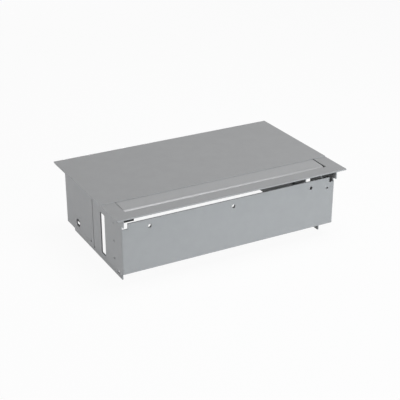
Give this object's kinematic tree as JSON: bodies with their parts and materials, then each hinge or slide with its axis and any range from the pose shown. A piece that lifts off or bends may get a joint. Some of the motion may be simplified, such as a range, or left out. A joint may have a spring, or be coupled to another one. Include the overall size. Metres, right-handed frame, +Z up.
{
  "type": "built-in desk socket unit",
  "caption": "Drop-in desk power box of folded sheet metal with a flange frame, a rear-hinged lid, a hinged cable flap and a socket rail inside.",
  "frame": {"origin": "bottom of the end plates, under the centre of the top plate", "axes": "+Z up, +X along the long side, -Y towards the front wall and the cable flap"},
  "size_m": [0.301, 0.1876, 0.0904],
  "materials": {
    "sheet_metal": "satin silver-grey powder coat",
    "fasteners": "zinc plated",
    "black_rubber": "matt",
    "socket_plastic": "fine grained",
    "black_plastic": "matt",
    "brass": "plain"
  },
  "bodies": {
    "housing": {"frame": "sheet_metal", "front_shell": "sheet_metal", "rear_shell": "sheet_metal", "end_plate_left": "sheet_metal", "end_plate_right": "sheet_metal", "shell_rivets": "fasteners", "outlet_end_stops": "black_rubber", "socket_panel": "sheet_metal", "panel_screws": "fasteners", "earth_clips": "brass", "live_busbar": "brass", "neutral_busbar": "brass", "earth_busbar": "brass", "socket_rear_cover": "black_plastic", "mains_inlet": "black_plastic", "inlet_pins": "brass", "lid_hinge_pin": "fasteners", "power_socket_1": "socket_plastic", "power_socket_2": "socket_plastic", "power_socket_3": "socket_plastic", "power_socket_4": "socket_plastic", "power_socket_5": "socket_plastic"},
    "lid": {"lid": "sheet_metal", "flap_hinge_pin": "fasteners"},
    "flap": {"cable_flap": "sheet_metal"}
  },
  "joints": [
    {"name": "lid_hinge", "type": "hinge", "parent": "housing", "child": "lid", "pos_m": [0, 0.09265, 0.08925], "axis": [-1, 0, 0], "range_deg": [0, 100]},
    {"name": "flap_hinge", "type": "hinge", "parent": "lid", "child": "flap", "pos_m": [0, -0.0487, 0.0862], "axis": [1, 0, 0], "range_deg": [0, 60]}
  ]
}
